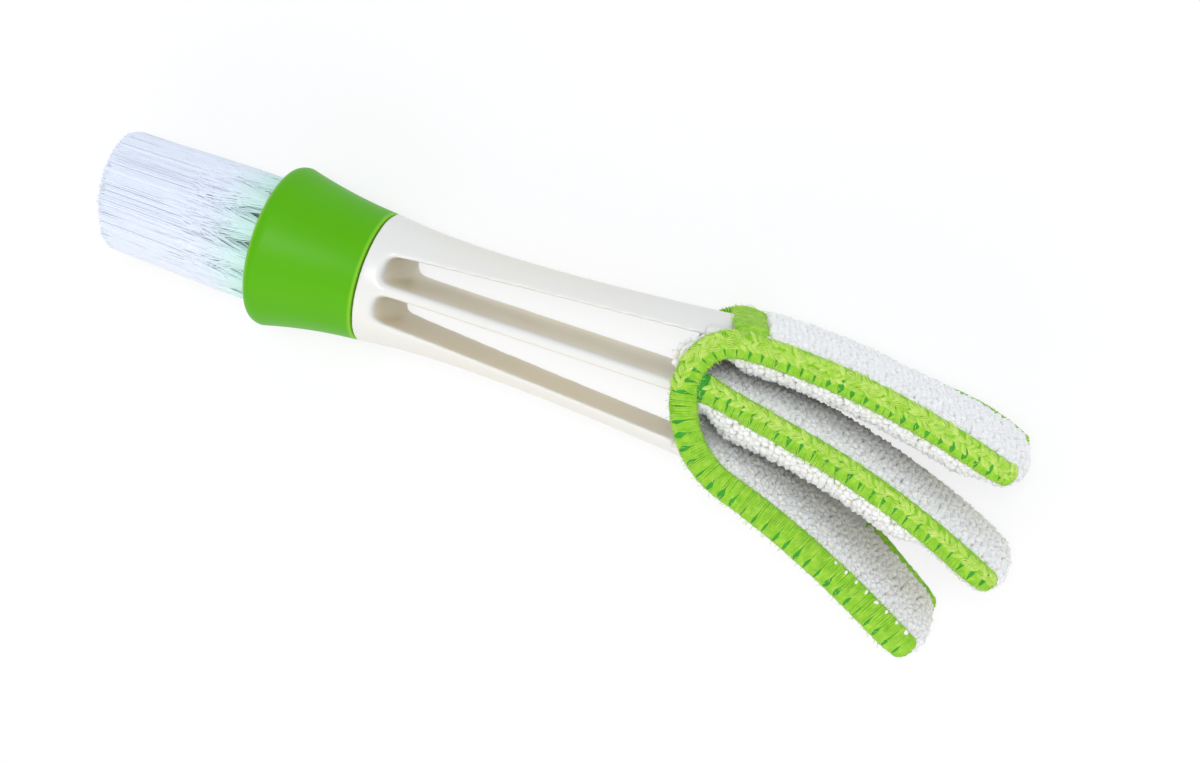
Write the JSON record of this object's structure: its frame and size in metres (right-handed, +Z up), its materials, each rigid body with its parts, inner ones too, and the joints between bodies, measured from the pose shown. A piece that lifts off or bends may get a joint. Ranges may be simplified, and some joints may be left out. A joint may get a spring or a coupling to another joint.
{
  "type": "vent cleaning brush",
  "caption": "Double-ended vent cleaning brush: a round soft-bristle brush in a green collar, and a pronged white handle whose blades carry a pull-off microfibre glove with green edging.",
  "frame": {"origin": "On the table that the brush lies on, under the middle of its bounding box.", "axes": "X runs along the handle from the bristles to the glove, Y runs across the row of prongs, Z is up."},
  "size_m": [0.1786, 0.0478, 0.0306],
  "materials": {
    "handle_plastic": "moulded satin white",
    "collar_plastic": "moulded satin green",
    "nylon": "white monofilament",
    "microfibre": "white looped pile",
    "edging_yarn": "lime overlocked yarn"
  },
  "bodies": {
    "handle": {"handle": "handle_plastic", "collar": "collar_plastic", "tuft_block": "collar_plastic", "core_bristles": "nylon", "inner_bristles": "nylon", "outer_bristles": "nylon"},
    "glove": {"glove_cloth": "microfibre", "near_rim_edging": "edging_yarn", "near_middle_edging": "edging_yarn", "far_rim_edging": "edging_yarn", "far_middle_edging": "edging_yarn", "top_hem_edging": "edging_yarn", "bottom_hem_edging": "edging_yarn"}
  },
  "joints": [
    {"name": "glove_pull", "type": "slide", "parent": "handle", "child": "glove", "axis": [0.9689, -0.2476, 0], "range_m": [0, 0.07], "deforming": ["glove_cloth", "near_rim_edging", "near_middle_edging", "far_rim_edging", "far_middle_edging", "top_hem_edging", "bottom_hem_edging"]}
  ]
}
